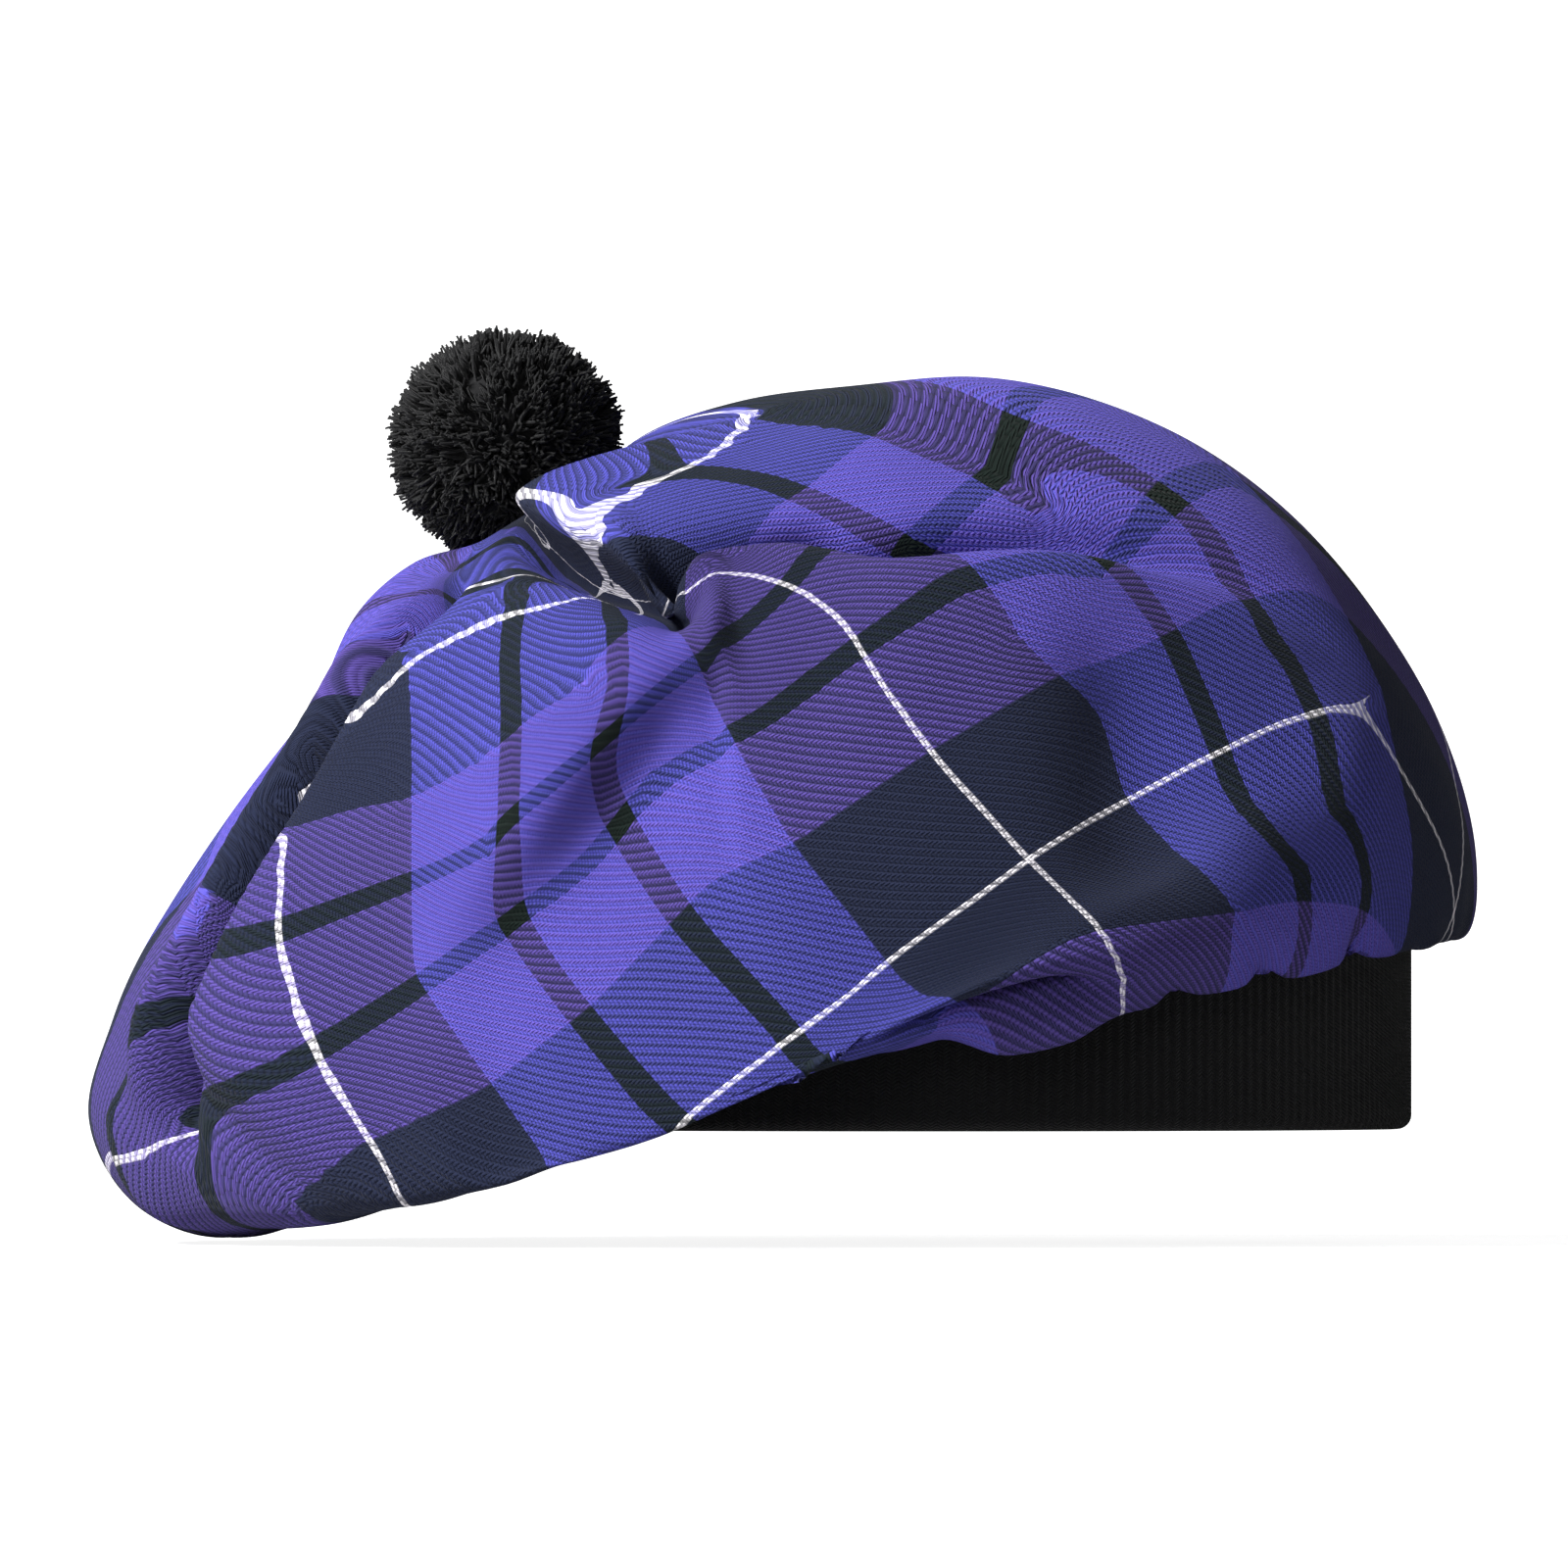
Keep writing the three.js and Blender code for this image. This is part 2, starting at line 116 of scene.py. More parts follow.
# The crown's rings, from the middle of the cloth out over the rim and back in to the seam.
# left, front and back are shares of the reach to that side, and right is a share of the right
# reach, or of the left one where it is negative. A rise is a share of the crown's rise, or of
# the flop's depth where it is negative, and a sag is a share of that depth. The last ring is the
# seam, just clear of the headband.
RINGS = table(
    "left left_rise right right_rise front front_sag back back_sag",
    [
        (0.443, 0.714, -0.43, 0.723, 0.009, 0, 0.008, 0),
        (0.56, 0.665, -0.365, 0.87, 0.15, 0, 0.144, -0.037),
        (0.671, 0.547, -0.228, 0.948, 0.301, 0, 0.297, -0.056),
        (0.756, 0.381, -0.091, 0.987, 0.451, 0, 0.449, -0.056),
        (0.834, 0.215, 0.071, 0.997, 0.593, 0, 0.593, 0),
        (0.906, 0.049, 0.286, 0.958, 0.717, 0.093, 0.72, 0.056),
        (0.974, -0.26, 0.49, 0.875, 0.832, 0.223, 0.839, 0.13),
        (1, -0.612, 0.653, 0.758, 0.929, 0.408, 0.932, 0.223),
        (0.938, -0.928, 0.806, 0.596, 1, 0.557, 1, 0.334),
        (0.808, -0.993, 0.929, 0.401, 1, 0.278, 1, 0.26),
        (0.691, -0.612, 1, 0.186, 0.947, 0.223, 0.941, 0.148),
        (0.625, -0.278, 0.99, 0.01, 0.858, 0.186, 0.839, 0.074),
        (
            (BAND_RADIUS + SEAM_GAP) / REACH_LEFT, 0,
            (BAND_RADIUS + SEAM_GAP) / REACH_RIGHT, 0,
            (BAND_RADIUS + SEAM_GAP) / REACH_FRONT, 0,
            (BAND_RADIUS + SEAM_GAP) / REACH_BACK, 0,
        ),
    ],
)

# The folds. A fold follows a path on the cloth laid out flat, through points that are shares
# of the cloth's radius: to the right, then to the back. height and lean are shares of the fold
# height, wide and steep are shares of the fold width, start and finish are the shares of the
# path over which it grows and dies away, and side is 1 with the steep flank on the path's left.
# tuck is how much cloth lies hidden in the fold, as far as its pattern is concerned.
FOLDS = table(
    "path height lean wide steep start finish side tuck",
    [
        # the deep groove down the left, the panel toppling over it and the roll beyond
        ([(-0.064, -0.18), (-0.158, -0.3), (-0.298, -0.352), (-0.464, -0.376)],
         0.67, 0.48, 1, 0.22, 0.35, 0.12, -1, 0),
        ([(-0.096, -0.14), (-0.19, -0.246), (-0.34, -0.296), (-0.54, -0.3)],
         -1.8, 0, 0.22, 0.22, 0.15, 0.07, 1, 0.9),
        ([(-0.112, -0.118), (-0.222, -0.198), (-0.382, -0.248), (-0.552, -0.224)],
         0.5, 0.1, 0.35, 0.2, 0.25, 0.2, -1, 0),
        ([(-0.512, -0.224), (-0.56, -0.208), (-0.6, -0.232), (-0.632, -0.296)],
         0.24, 0.22, 0.54, 0.2, 0.3, 0.4, -1, 0),
        # the far strip that shows beyond the groove, up to the toorie
        ([(-0.08, 0.03), (-0.13, -0.05), (-0.2, -0.115), (-0.33, -0.165)],
         0.34, 0, 0.5, 0.3, 0.25, 0.5, -1, 0),
        # the overlap below the toorie and the valley that it leans over
        ([(0.016, -0.128), (0.034, -0.232), (0.06, -0.32), (0.104, -0.404)],
         0.62, 0.75, 0.8, 0.22, 0.1, 0.12, -1, 0),
        ([(-0.024, -0.136), (-0.008, -0.24), (0.022, -0.336), (0.078, -0.412)],
         -0.95, 0, 0.22, 0.25, 0.15, 0.12, 1, 1),
        # the ridge that falls to the left from the pinch at that overlap's end
        ([(0.096, -0.424), (0.016, -0.432), (-0.096, -0.472), (-0.248, -0.496)],
         0.85, 0.3, 0.9, 0.32, 0.12, 0.35, 1, 0),
        # the roll to the right of the pinch, and the crease above it
        ([(0.072, -0.392), (0.152, -0.404), (0.28, -0.416), (0.64, -0.28)],
         0.67, 0.5, 1, 0.27, 0.1, 0.35, 1, 0),
        ([(0.05, -0.352), (0.14, -0.362), (0.264, -0.376), (0.672, -0.216)],
         -0.95, 0, 0.2, 0.2, 0.15, 0.45, 1, 1),
        # soft hollows in the front panels
        ([(-0.312, -0.6), (-0.264, -0.608), (-0.208, -0.608), (-0.152, -0.6)],
         -0.25, 0, 0.35, 0.46, 0.4, 0.4, 1, 0),
        ([(0.416, -0.392), (0.416, -0.472), (0.396, -0.56), (0.432, -0.672)],
         -0.38, 0, 0.54, 0.62, 0.35, 0.35, 1, 0),
        # the hollow under the front rim and the bulge between it and the headband
        ([(0.016, -0.768), (0.112, -0.776), (0.208, -0.784), (0.312, -0.784)],
         -0.7, 0, 0.32, 0.32, 0.35, 0.35, 1, 0.4),
        ([(0, -0.864), (0.104, -0.872), (0.208, -0.856), (0.336, -0.8)],
         0.38, 0, 0.38, 0.38, 0.35, 0.35, 1, 0),
        # gathers into the seam at the front right
        ([(0.368, -0.76), (0.4, -0.832), (0.416, -0.888), (0.424, -0.944)],
         -0.24, 0, 0.27, 0.27, 0.35, 0.2, 1, 0),
        ([(0.512, -0.672), (0.552, -0.728), (0.576, -0.768), (0.6, -0.808)],
         -0.24, 0, 0.27, 0.27, 0.35, 0.2, 1, 0),
        ([(0.64, -0.52), (0.704, -0.568), (0.752, -0.6), (0.792, -0.632)],
         -0.24, 0, 0.27, 0.27, 0.35, 0.2, 1, 0),
        # soft folds and gathers at the back
        ([(0.08, 0.16), (0.2, 0.32), (0.36, 0.472), (0.48, 0.6)],
         0.5, 0.33, 0.92, 0.35, 0.4, 0.4, 1, 0),
        ([(-0.08, 0.16), (-0.136, 0.344), (-0.16, 0.52), (-0.136, 0.68)],
         0.5, 0.42, 0.85, 0.31, 0.4, 0.4, -1, 0),
        ([(-0.24, 0.096), (-0.384, 0.16), (-0.52, 0.264), (-0.624, 0.4)],
         -0.42, 0, 0.54, 0.54, 0.4, 0.4, 1, 0),
        ([(0.16, 0.76), (0.184, 0.832), (0.2, 0.888), (0.208, 0.944)],
         -0.25, 0, 0.31, 0.31, 0.35, 0.2, 1, 0),
        ([(-0.08, 0.784), (-0.088, 0.848), (-0.096, 0.904), (-0.104, 0.952)],
         -0.25, 0, 0.31, 0.31, 0.35, 0.2, 1, 0),
        ([(0.48, 0.6), (0.52, 0.656), (0.56, 0.712), (0.592, 0.76)],
         -0.25, 0, 0.31, 0.31, 0.35, 0.2, 1, 0),
    ],
)

# The tartan's sett, in threads from the middle of a white line to the middle of the next: the
# number of threads of each colour. The columns' bright threads are blue, the rows' are violet.
SETT = [("white", 1.5), ("navy", 46), ("bright", 38), ("black", 10), ("bright", 34),
        ("black", 10), ("bright", 38), ("navy", 46), ("white", 1.5)]
REPEAT = sum(count for _, count in SETT)

# Where the tartan's lines lie on the worn cap, seen from the front: the line's place in threads
# from a white line (across the columns, or up the rows), and points on it as millimetres to the
# right and up from the headband's lower edge. Row 212 is the navy band beside a white line.
COLUMN_LINES = [
    (0, [(-46.5, 97), (-42, 101), (-35, 101.5), (-24, 98), (-16.5, 92.5), (-9.5, 80.5)]),
    (0, [(-9.5, 80.5), (1, 66.5), (17.5, 48.5), (31.5, 36), (35.5, 27.5)]),
    (-225, [(-113.5, 64.5), (-116.5, 59.5), (-118, 52), (-119.5, 34.5), (-111.5, 13),
            (-96.5, -13)]),
    (-134.5, [(-74.6, 100), (-77.5, 86), (-76.5, 71), (-78, 45), (-79.5, 39.5), (-64.5, 20),
              (-51, 4)]),
    (-90.5, [(-56.5, 92), (-56.5, 82), (-62, 67), (-60, 58), (-45, 36.5), (-26, 17)]),
    (-177.5, [(-95.5, 91), (-95.5, 64), (-95.5, 28), (-71.5, -5)]),
    (-47.5, [(-40.5, 77.5), (-33, 64.5), (-25.5, 51.5), (-16.5, 40.5), (-1, 20.5)]),
    (47.5, [(-59.5, 105.5), (-54, 108), (-48.5, 107.5), (-42.5, 104.5)]),
    (47.5, [(14.5, 89), (30.5, 76), (34.5, 59.5), (56.5, 39.5)]),
    (90.5, [(-57, 117), (-42.5, 120), (-29.5, 117.5), (-16.5, 112), (-6, 105.5)]),
    (90.5, [(43.5, 89), (51, 71.5), (55, 58.5), (68, 47)]),
    (134.5, [(-31, 129.5), (-12, 127.5), (9.5, 119), (19, 112.5)]),
    (134.5, [(60, 90), (65.5, 84.5), (71, 72), (72, 57.5)]),
]
ROW_LINES = [
    (0, [(-45, 2), (-18, 21.5), (-6, 31.5), (8.5, 41.5), (17.5, 48.5), (28, 55.5)]),
    (0, [(28, 55.5), (44, 64.5), (62, 73.5), (80, 79.5)]),
    (225, [(-27, 132), (-31, 130), (-37, 123.5), (-51.5, 117), (-60.5, 106.5), (-61.5, 103)]),
    (225, [(-58, 98), (-77.5, 93), (-93.5, 86), (-110, 68.5), (-112.5, 66)]),
    (212, [(-54, 102), (-50, 98.5)]),
    (90.5, [(-137, 3), (-116.5, 10.5), (-95.5, 25), (-77.5, 38), (-63, 48.5)]),
    (90.5, [(-63, 48.5), (-51, 64.5), (-31, 75), (-16.5, 86), (4, 99.5)]),
    (90.5, [(29, 100.5), (43.5, 113.5), (56, 122.5)]),
    (134.5, [(-119.5, 35.5), (-107.5, 40.5), (-94.5, 45.5), (-81, 50.5)]),
    (134.5, [(-5.5, 105), (9.5, 118)]),
    (47.5, [(-120.5, -15), (-105.5, -3), (-81.5, 7), (-62, 22), (-40.5, 45), (-24.5, 52)]),
    (47.5, [(-24.5, 52), (-1, 68), (23.5, 82.5)]),
    (177.5, [(-116, 55), (-106, 58.5), (-95.5, 59.5), (-81.5, 67), (-73.5, 74.5), (-63, 80.5)]),
    (177.5, [(-28.5, 114), (-36, 104.5)]),
    (-47.5, [(-1, 20), (25, 36), (56.5, 39.5)]),
]


def ease(share):
    """A smooth step from 0 to 1."""
    s = np.clip(share, 0, 1)
    return s * s * (3 - 2 * s)


def curve_through(values, share):
    """Values on a smooth curve through a column of a table, at shares of the way down it."""
    v = np.asarray(values, float)
    last = len(v) - 1
    place = np.clip(share, 0, 1) * last
    i = np.minimum(place.astype(int), last - 1)
    f = place - i
    b, c = v[i], v[i + 1]
    a = np.where(i > 0, v[np.maximum(i - 1, 0)], 2 * b - c)
    d = np.where(i < last - 1, v[np.minimum(i + 2, last)], 2 * c - b)
    return 0.5 * (((3 * b - a - 3 * c + d) * f + (2 * a - 5 * b + 4 * c - d)) * f * f
                  + (c - a) * f + 2 * b)


def rise(share):
    """A height over the seam from a share of the crown's rise, or of the flop's depth."""
    return share * (CROWN_RISE if share > 0 else FLOP_DEPTH)


SIDES = {
    "left": [-r["left"] * REACH_LEFT for r in RINGS],
    "low": [rise(r["left_rise"]) for r in RINGS],
    "right": [r["right"] * (REACH_LEFT if r["right"] < 0 else REACH_RIGHT) for r in RINGS],
    "high": [rise(r["right_rise"]) for r in RINGS],
    "front": [r["front"] * REACH_FRONT for r in RINGS],
    "front_sag": [r["front_sag"] * FLOP_DEPTH for r in RINGS],
    "back": [r["back"] * REACH_BACK for r in RINGS],
    "back_sag": [r["back_sag"] * FLOP_DEPTH for r in RINGS],
}


def smooth_crown(angle, share):
    """The crown before its folds: round from the right to the back, and out to the seam."""
    side = {name: curve_through(column, share) for name, column in SIDES.items()}
    across, along = np.cos(angle), np.sin(angle)
    front = along < 0
    depth = np.where(front, side["front"], side["back"])
    sag = np.where(front, side["front_sag"], side["back_sag"])
    x = (side["left"] + side["right"]) / 2 + (side["right"] - side["left"]) / 2 * across
    z = (side["low"] + side["high"]) / 2 + (side["high"] - side["low"]) / 2 * across
    return np.stack([x, depth * along, z - sag * along ** 2 + BAND_HEIGHT + SEAM_GAP], -1)


def unit(v):
    """Vectors brought to length 1."""
    return v / np.maximum(np.linalg.norm(v, axis=-1, keepdims=True), 1e-9)


def fold_line(path, steps=32):
    """A fold's path as short straight pieces on the flat cloth."""
    points = np.array(path) * CLOTH_RADIUS
    share = np.linspace(0, 1, steps + 1)
    return np.stack([curve_through(points[:, k], share) for k in (0, 1)], -1)


def beside(line, cloth):
    """How far flat cloth is to a fold's left, how far along it, and the way across the fold."""
    best = np.full(cloth.shape[:-1], 1e9)
    left, along = np.zeros_like(best), np.zeros_like(best)
    across = np.zeros_like(cloth)
    for i in range(len(line) - 1):
        step = line[i + 1] - line[i]
        length = math.hypot(*step)
        off = cloth - line[i]
        s = np.clip(off @ step / length ** 2, 0, 1)
        distance = np.linalg.norm(off - s[..., None] * step, axis=-1)
        turn = step[0] * off[..., 1] - step[1] * off[..., 0]
        nearer = distance < best
        best = np.where(nearer, distance, best)
        left = np.where(nearer, np.sign(turn) * distance, left)
        along = np.where(nearer, (i + s) / (len(line) - 1), along)
        across = np.where(nearer[..., None], np.array([-step[1], step[0]]) / length, across)
    return left, along, across


def soft_unevenness(cloth):
    """Slow, shallow waves that keep the cloth from looking ironed, in millimetres."""
    random = np.random.default_rng(7)
    height = np.zeros(cloth.shape[:-1])
    for _ in range(WAVES):
        way = random.uniform(0, 2 * math.pi)
        length = random.uniform(*WAVE_LENGTHS)
        phase = random.uniform(0, 2 * math.pi)
        swing = (cloth @ np.array([math.cos(way), math.sin(way)])) * 2 * math.pi / length
        height += np.sin(swing + phase) * length / WAVE_FLATNESS
    return height


def folded_crown(angle, share):
    """The folded cloth's points, how far each is tucked away, and where it is on flat cloth."""
    step = 1e-3
    place = smooth_crown(angle, share)
    around = (smooth_crown(angle + step, share) - smooth_crown(angle - step, share)) / (2 * step)
    outer, inner = np.minimum(share + step, 1), np.maximum(share - step, 0)
    outwards = smooth_crown(angle, outer) - smooth_crown(angle, inner)
    outwards = outwards / ((outer - inner) * CLOTH_RADIUS)[..., None]
    normal = unit(np.cross(outwards, around))
    radius = np.maximum(share * CLOTH_RADIUS, 1e-6)[..., None]
    cos, sin = np.cos(angle)[..., None], np.sin(angle)[..., None]
    along_right = outwards * cos - around * sin / radius
    along_back = outwards * sin + around * cos / radius
    cloth = np.concatenate([radius * cos, radius * sin], -1)
    fade = ease(share / MIDDLE_FADE) * ease((1 - share) / SEAM_FADE)
    folded = place + normal * (soft_unevenness(cloth) * fade)[..., None]
    # cloth is hidden under the toorie and in the tucks, which run up to it
    tucked = np.exp(-(share * CLOTH_RADIUS / UNDER_TOORIE) ** 2)
    for fold in FOLDS:
        left, along, across = beside(fold_line(fold["path"]), cloth)
        off = left * fold["side"]
        width = FOLD_WIDTH * np.where(off > 0, fold["steep"], fold["wide"])
        grown = ease(along / fold["start"]) * ease((1 - along) / fold["finish"])
        strength = np.exp(-(off / width) ** 2) * grown * fade
        topple = along_right * across[..., :1] + along_back * across[..., 1:]
        topple = unit(topple * fold["side"])
        folded = folded + normal * (fold["height"] * FOLD_HEIGHT * strength)[..., None]
        folded = folded + topple * (fold["lean"] * FOLD_HEIGHT * strength)[..., None]
        hidden = np.exp(-(left / TUCK_WIDTH) ** 2) * ease((1 - along) / fold["finish"])
        tucked = np.maximum(tucked, fold["tuck"] * hidden)
    return folded, tucked, cloth


def grid_normals(place):
    """The way out of the cloth at each point of a grid that closes round its first axis."""
    around = np.roll(place, -1, 0) - np.roll(place, 1, 0)
    outwards = np.gradient(place, axis=1)
    return unit(np.cross(outwards, around))


# ---- the crown's cloth ----
turn = np.arange(COLUMNS) / COLUMNS * 2 * math.pi
column_angle = turn - COLUMN_CROWDING * np.sin(turn - FINEST_SIDE)
ring_share = np.arange(1, RINGS_OUT + 1) / RINGS_OUT
angle, share = np.meshgrid(column_angle, ring_share, indexing="ij")
outside, tucked, flat_cloth = folded_crown(angle, share)
outward = grid_normals(outside)


# ---- how the tartan's threads lie on it ----
TIE_SPACING = 4.0
TIE_STRENGTH = 5.0
FAINT_TIE = 1e-7                # keeps the system solvable
LINK_STRENGTHS = (0.02, 60)
HIDDEN_SLACK = 0.992            # how far hidden cloth gives way to the cloth that shows
HIDDEN_SPREAD = (0.4, 4)        # and how far its threads may close up or spread
PASSES = [(8, 150), (4, 80), (2, 30)]  # the grid's stride and the rounds on it, coarse to fine


class ClothGrid:
    """The outer surface thinned to every few columns and rings, cut into triangles."""

    def __init__(self, stride):
        self.stride = stride
        place = outside[::stride, stride - 1::stride]
        self.around, self.out = place.shape[:2]
        self.points = self.by_rings(place)
        i, j = np.meshgrid(np.arange(self.around), np.arange(self.out - 1), indexing="ij")
        i, j = i.ravel(), j.ravel() * self.around
        k = (i + 1) % self.around
        up = self.around
        self.corners = np.concatenate([np.stack([j + i, j + up + i, j + up + k], -1),
                                       np.stack([j + i, j + up + k, j + k], -1)])
        self.tree = BVHTree.FromPolygons(self.points.tolist(), self.corners.tolist())

    def by_rings(self, values):
        """A grid's values as one list, ring by ring from the middle."""
        return values.transpose(1, 0, 2).reshape(-1, values.shape[2])

    def thin(self, values):
        """Values at this grid's own points, from those at every column and ring."""
        return self.by_rings(values[::self.stride, self.stride - 1::self.stride])

    def fill_out(self, values):
        """Values at every column and ring, evened out between the grid's own."""
        coarse = values.reshape(self.out, self.around, -1).transpose(1, 0, 2)
        columns = np.arange(COLUMNS) / self.stride
        i = columns.astype(int)
        f = (columns - i)[:, None, None]
        wide = coarse[i % self.around] * (1 - f) + coarse[(i + 1) % self.around] * f
        rings = (np.arange(RINGS_OUT) - (self.stride - 1)) / self.stride
        j = np.clip(np.floor(rings).astype(int), 0, self.out - 2)
        f = (rings - j)[None, :, None]
        return wide[:, j] * (1 - f) + wide[:, j + 1] * f


def line_steps(line):
    """Evenly spaced points along a measured line."""
    points = np.array(line, float)
    total = np.concatenate([[0], np.cumsum(np.linalg.norm(np.diff(points, axis=0), axis=1))])
    at = np.linspace(0, total[-1], max(2, int(round(total[-1] / TIE_SPACING)) + 1))
    return np.stack([np.interp(at, total, points[:, k]) for k in (0, 1)], 1)


def line_ties(grid, lines):
    """Where the measured lines cross the grid's triangles: corners, shares and thread counts."""
    corners, shares, counts = [], [], []
    for count, line in lines:
        for x, z in line_steps(line):
            way = Vector(np.array([x, 0, z]) - VIEW_FROM).normalized()
            hit, _, face, _ = grid.tree.ray_cast(Vector(VIEW_FROM), way)
            if hit is None:
                continue
            a, b, c = grid.points[grid.corners[face]]
            f, g = np.linalg.lstsq(np.stack([b - a, c - a], 1), np.array(hit) - a, rcond=None)[0]
            corners.append(grid.corners[face])
            shares.append([1 - f - g, f, g])
            counts.append(count)
    return np.array(corners), np.array(shares), np.array(counts, float)


class RingSolver:
    """Solves a symmetric system whose unknowns are tied only within a ring and to the next one."""

    def __init__(self, grid, rows, columns, values):
        n, m = self.shape = grid.around, grid.out
        self.lower = np.zeros((m, n, n))
        self.inverse = np.zeros((m, n, n))
        ring, other = rows // n, columns // n
        for blocks, chosen in ((self.inverse, ring == other), (self.lower, ring == other + 1)):
            np.add.at(blocks, (ring[chosen], rows[chosen] % n, columns[chosen] % n),
                      values[chosen])
        self.inverse[0] = np.linalg.inv(self.inverse[0])
        for r in range(1, m):
            carried = self.lower[r] @ self.inverse[r - 1] @ self.lower[r].T
            self.inverse[r] = np.linalg.inv(self.inverse[r] - carried)

    def solve(self, right_side):
        """One sweep out to the last ring and one back."""
        n, m = self.shape
        b = right_side.reshape(m, n).copy()
        for r in range(1, m):
            b[r] -= self.lower[r] @ (self.inverse[r - 1] @ b[r - 1])
        x = np.zeros_like(b)
        x[m - 1] = self.inverse[m - 1] @ b[m - 1]
        for r in range(m - 2, -1, -1):
            x[r] = self.inverse[r] @ (b[r] - self.lower[r + 1].T @ x[r + 1])
        return x.ravel()


def first_guess(grid, ties):
    """The flat cloth turned and shifted to fit the measured lines."""
    chart = grid.thin(flat_cloth) / THREAD
    rows, aims = [], []
    for k, (corners, shares, counts) in enumerate(ties):
        x, y = (chart[corners] * shares[..., None]).sum(1).T
        one, none = np.ones_like(x), np.zeros_like(x)
        rows.append(np.stack([x, -y, one, none] if k == 0 else [y, x, none, one], 1))
        aims.append(counts)
    a, b, c, d = np.linalg.lstsq(np.concatenate(rows), np.concatenate(aims), rcond=None)[0]
    x, y = chart.T
    return np.stack([x * a - y * b + c, y * a + x * b + d], 1)


def lay_threads(stride, rounds, before):
    """The thread count across and up at each point, as evenly spaced as the folds let it be."""
    grid = ClothGrid(stride)
    size = len(grid.points)
    a, b, c = (grid.points[grid.corners[:, k]] / THREAD for k in range(3))
    length = np.linalg.norm(b - a, axis=1)
    along = ((b - a) * (c - a)).sum(1) / length
    height = np.sqrt(np.maximum(((c - a) ** 2).sum(1) - along ** 2, 1e-8))
    flat = np.zeros((len(a), 3, 2))
    flat[:, 1, 0] = length
    flat[:, 2] = np.stack([along, height], 1)
    hidden = grid.thin(tucked[..., None])[grid.corners, 0].mean(1)
    seen = 1 - HIDDEN_SLACK * hidden
    links = []
    for p, q, r in ((0, 1, 2), (1, 2, 0), (2, 0, 1)):
        u, v = flat[:, p] - flat[:, r], flat[:, q] - flat[:, r]
        cot = (u * v).sum(1) / np.maximum(length * height, 1e-6)
        links.append((grid.corners[:, p], grid.corners[:, q], flat[:, p] - flat[:, q],
                      np.clip(0.5 * cot, *LINK_STRENGTHS) * seen))

    ties = [line_ties(grid, COLUMN_LINES), line_ties(grid, ROW_LINES)]
    solvers, pulls = [], []
    for corners, shares, counts in ties:
        rows, columns = [np.arange(size)], [np.arange(size)]
        values = [np.full(size, FAINT_TIE)]
        for i, j, _, w in links:
            rows += [i, j, i, j]
            columns += [i, j, j, i]
            values += [w, w, -w, -w]
        for p in range(3):
            for q in range(3):
                rows.append(corners[:, p])
                columns.append(corners[:, q])
                values.append(TIE_STRENGTH * shares[:, p] * shares[:, q])
        solvers.append(RingSolver(grid, *(np.concatenate(v) for v in (rows, columns, values))))
        pull = np.zeros(size)
        np.add.at(pull, corners, TIE_STRENGTH * shares * counts[:, None])
        pulls.append(pull)

    laid = first_guess(grid, ties) if before is None else grid.thin(before)
    for _ in range(rounds):
        # the turn that best takes each triangle's flat shape to where its threads are now and,
        # where cloth is hidden, how far its threads spread
        cos, sin, whole = np.zeros(len(a)), np.zeros(len(a)), np.zeros(len(a))
        for i, j, e, w in links:
            t = laid[i] - laid[j]
            cos += w * (e * t).sum(1)
            sin += w * (e[:, 0] * t[:, 1] - e[:, 1] * t[:, 0])
            whole += w * (e * e).sum(1)
        fit = np.maximum(np.hypot(cos, sin), 1e-9)
        spread = 1 + hidden * (np.clip(fit / whole, *HIDDEN_SPREAD) - 1)
        cos, sin = cos / fit * spread, sin / fit * spread
        sides = [pull.copy() for pull in pulls]
        for i, j, e, w in links:
            turned = (cos * e[:, 0] - sin * e[:, 1], sin * e[:, 0] + cos * e[:, 1])
            for k in range(2):
                sides[k] += np.bincount(i, w * turned[k], size)
                sides[k] -= np.bincount(j, w * turned[k], size)
        laid = np.stack([solvers[k].solve(sides[k]) for k in range(2)], 1)
    return grid.fill_out(laid)


threads = None
for stride, rounds in PASSES:
    threads = lay_threads(stride, rounds, threads)


# ---- meshes ----
def add_mesh(name, points, faces):
    """A smoothly shaded mesh object from points in millimetres."""
    mesh = bpy.data.meshes.new(name)
    mesh.from_pydata((np.asarray(points) * MM).tolist(), [], [list(map(int, f)) for f in faces])
    mesh.update()
    mesh.polygons.foreach_set("use_smooth", [True] * len(mesh.polygons))
    piece = bpy.data.objects.new(name, mesh)
    bpy.context.collection.objects.link(piece)
    return piece


def face_values(piece, name, corner_values):
    """Stores two numbers at each face corner as a UV map."""
    layer = piece.data.uv_layers.new(name=name)
    layer.data.foreach_set("uv", np.asarray(corner_values, float).ravel())


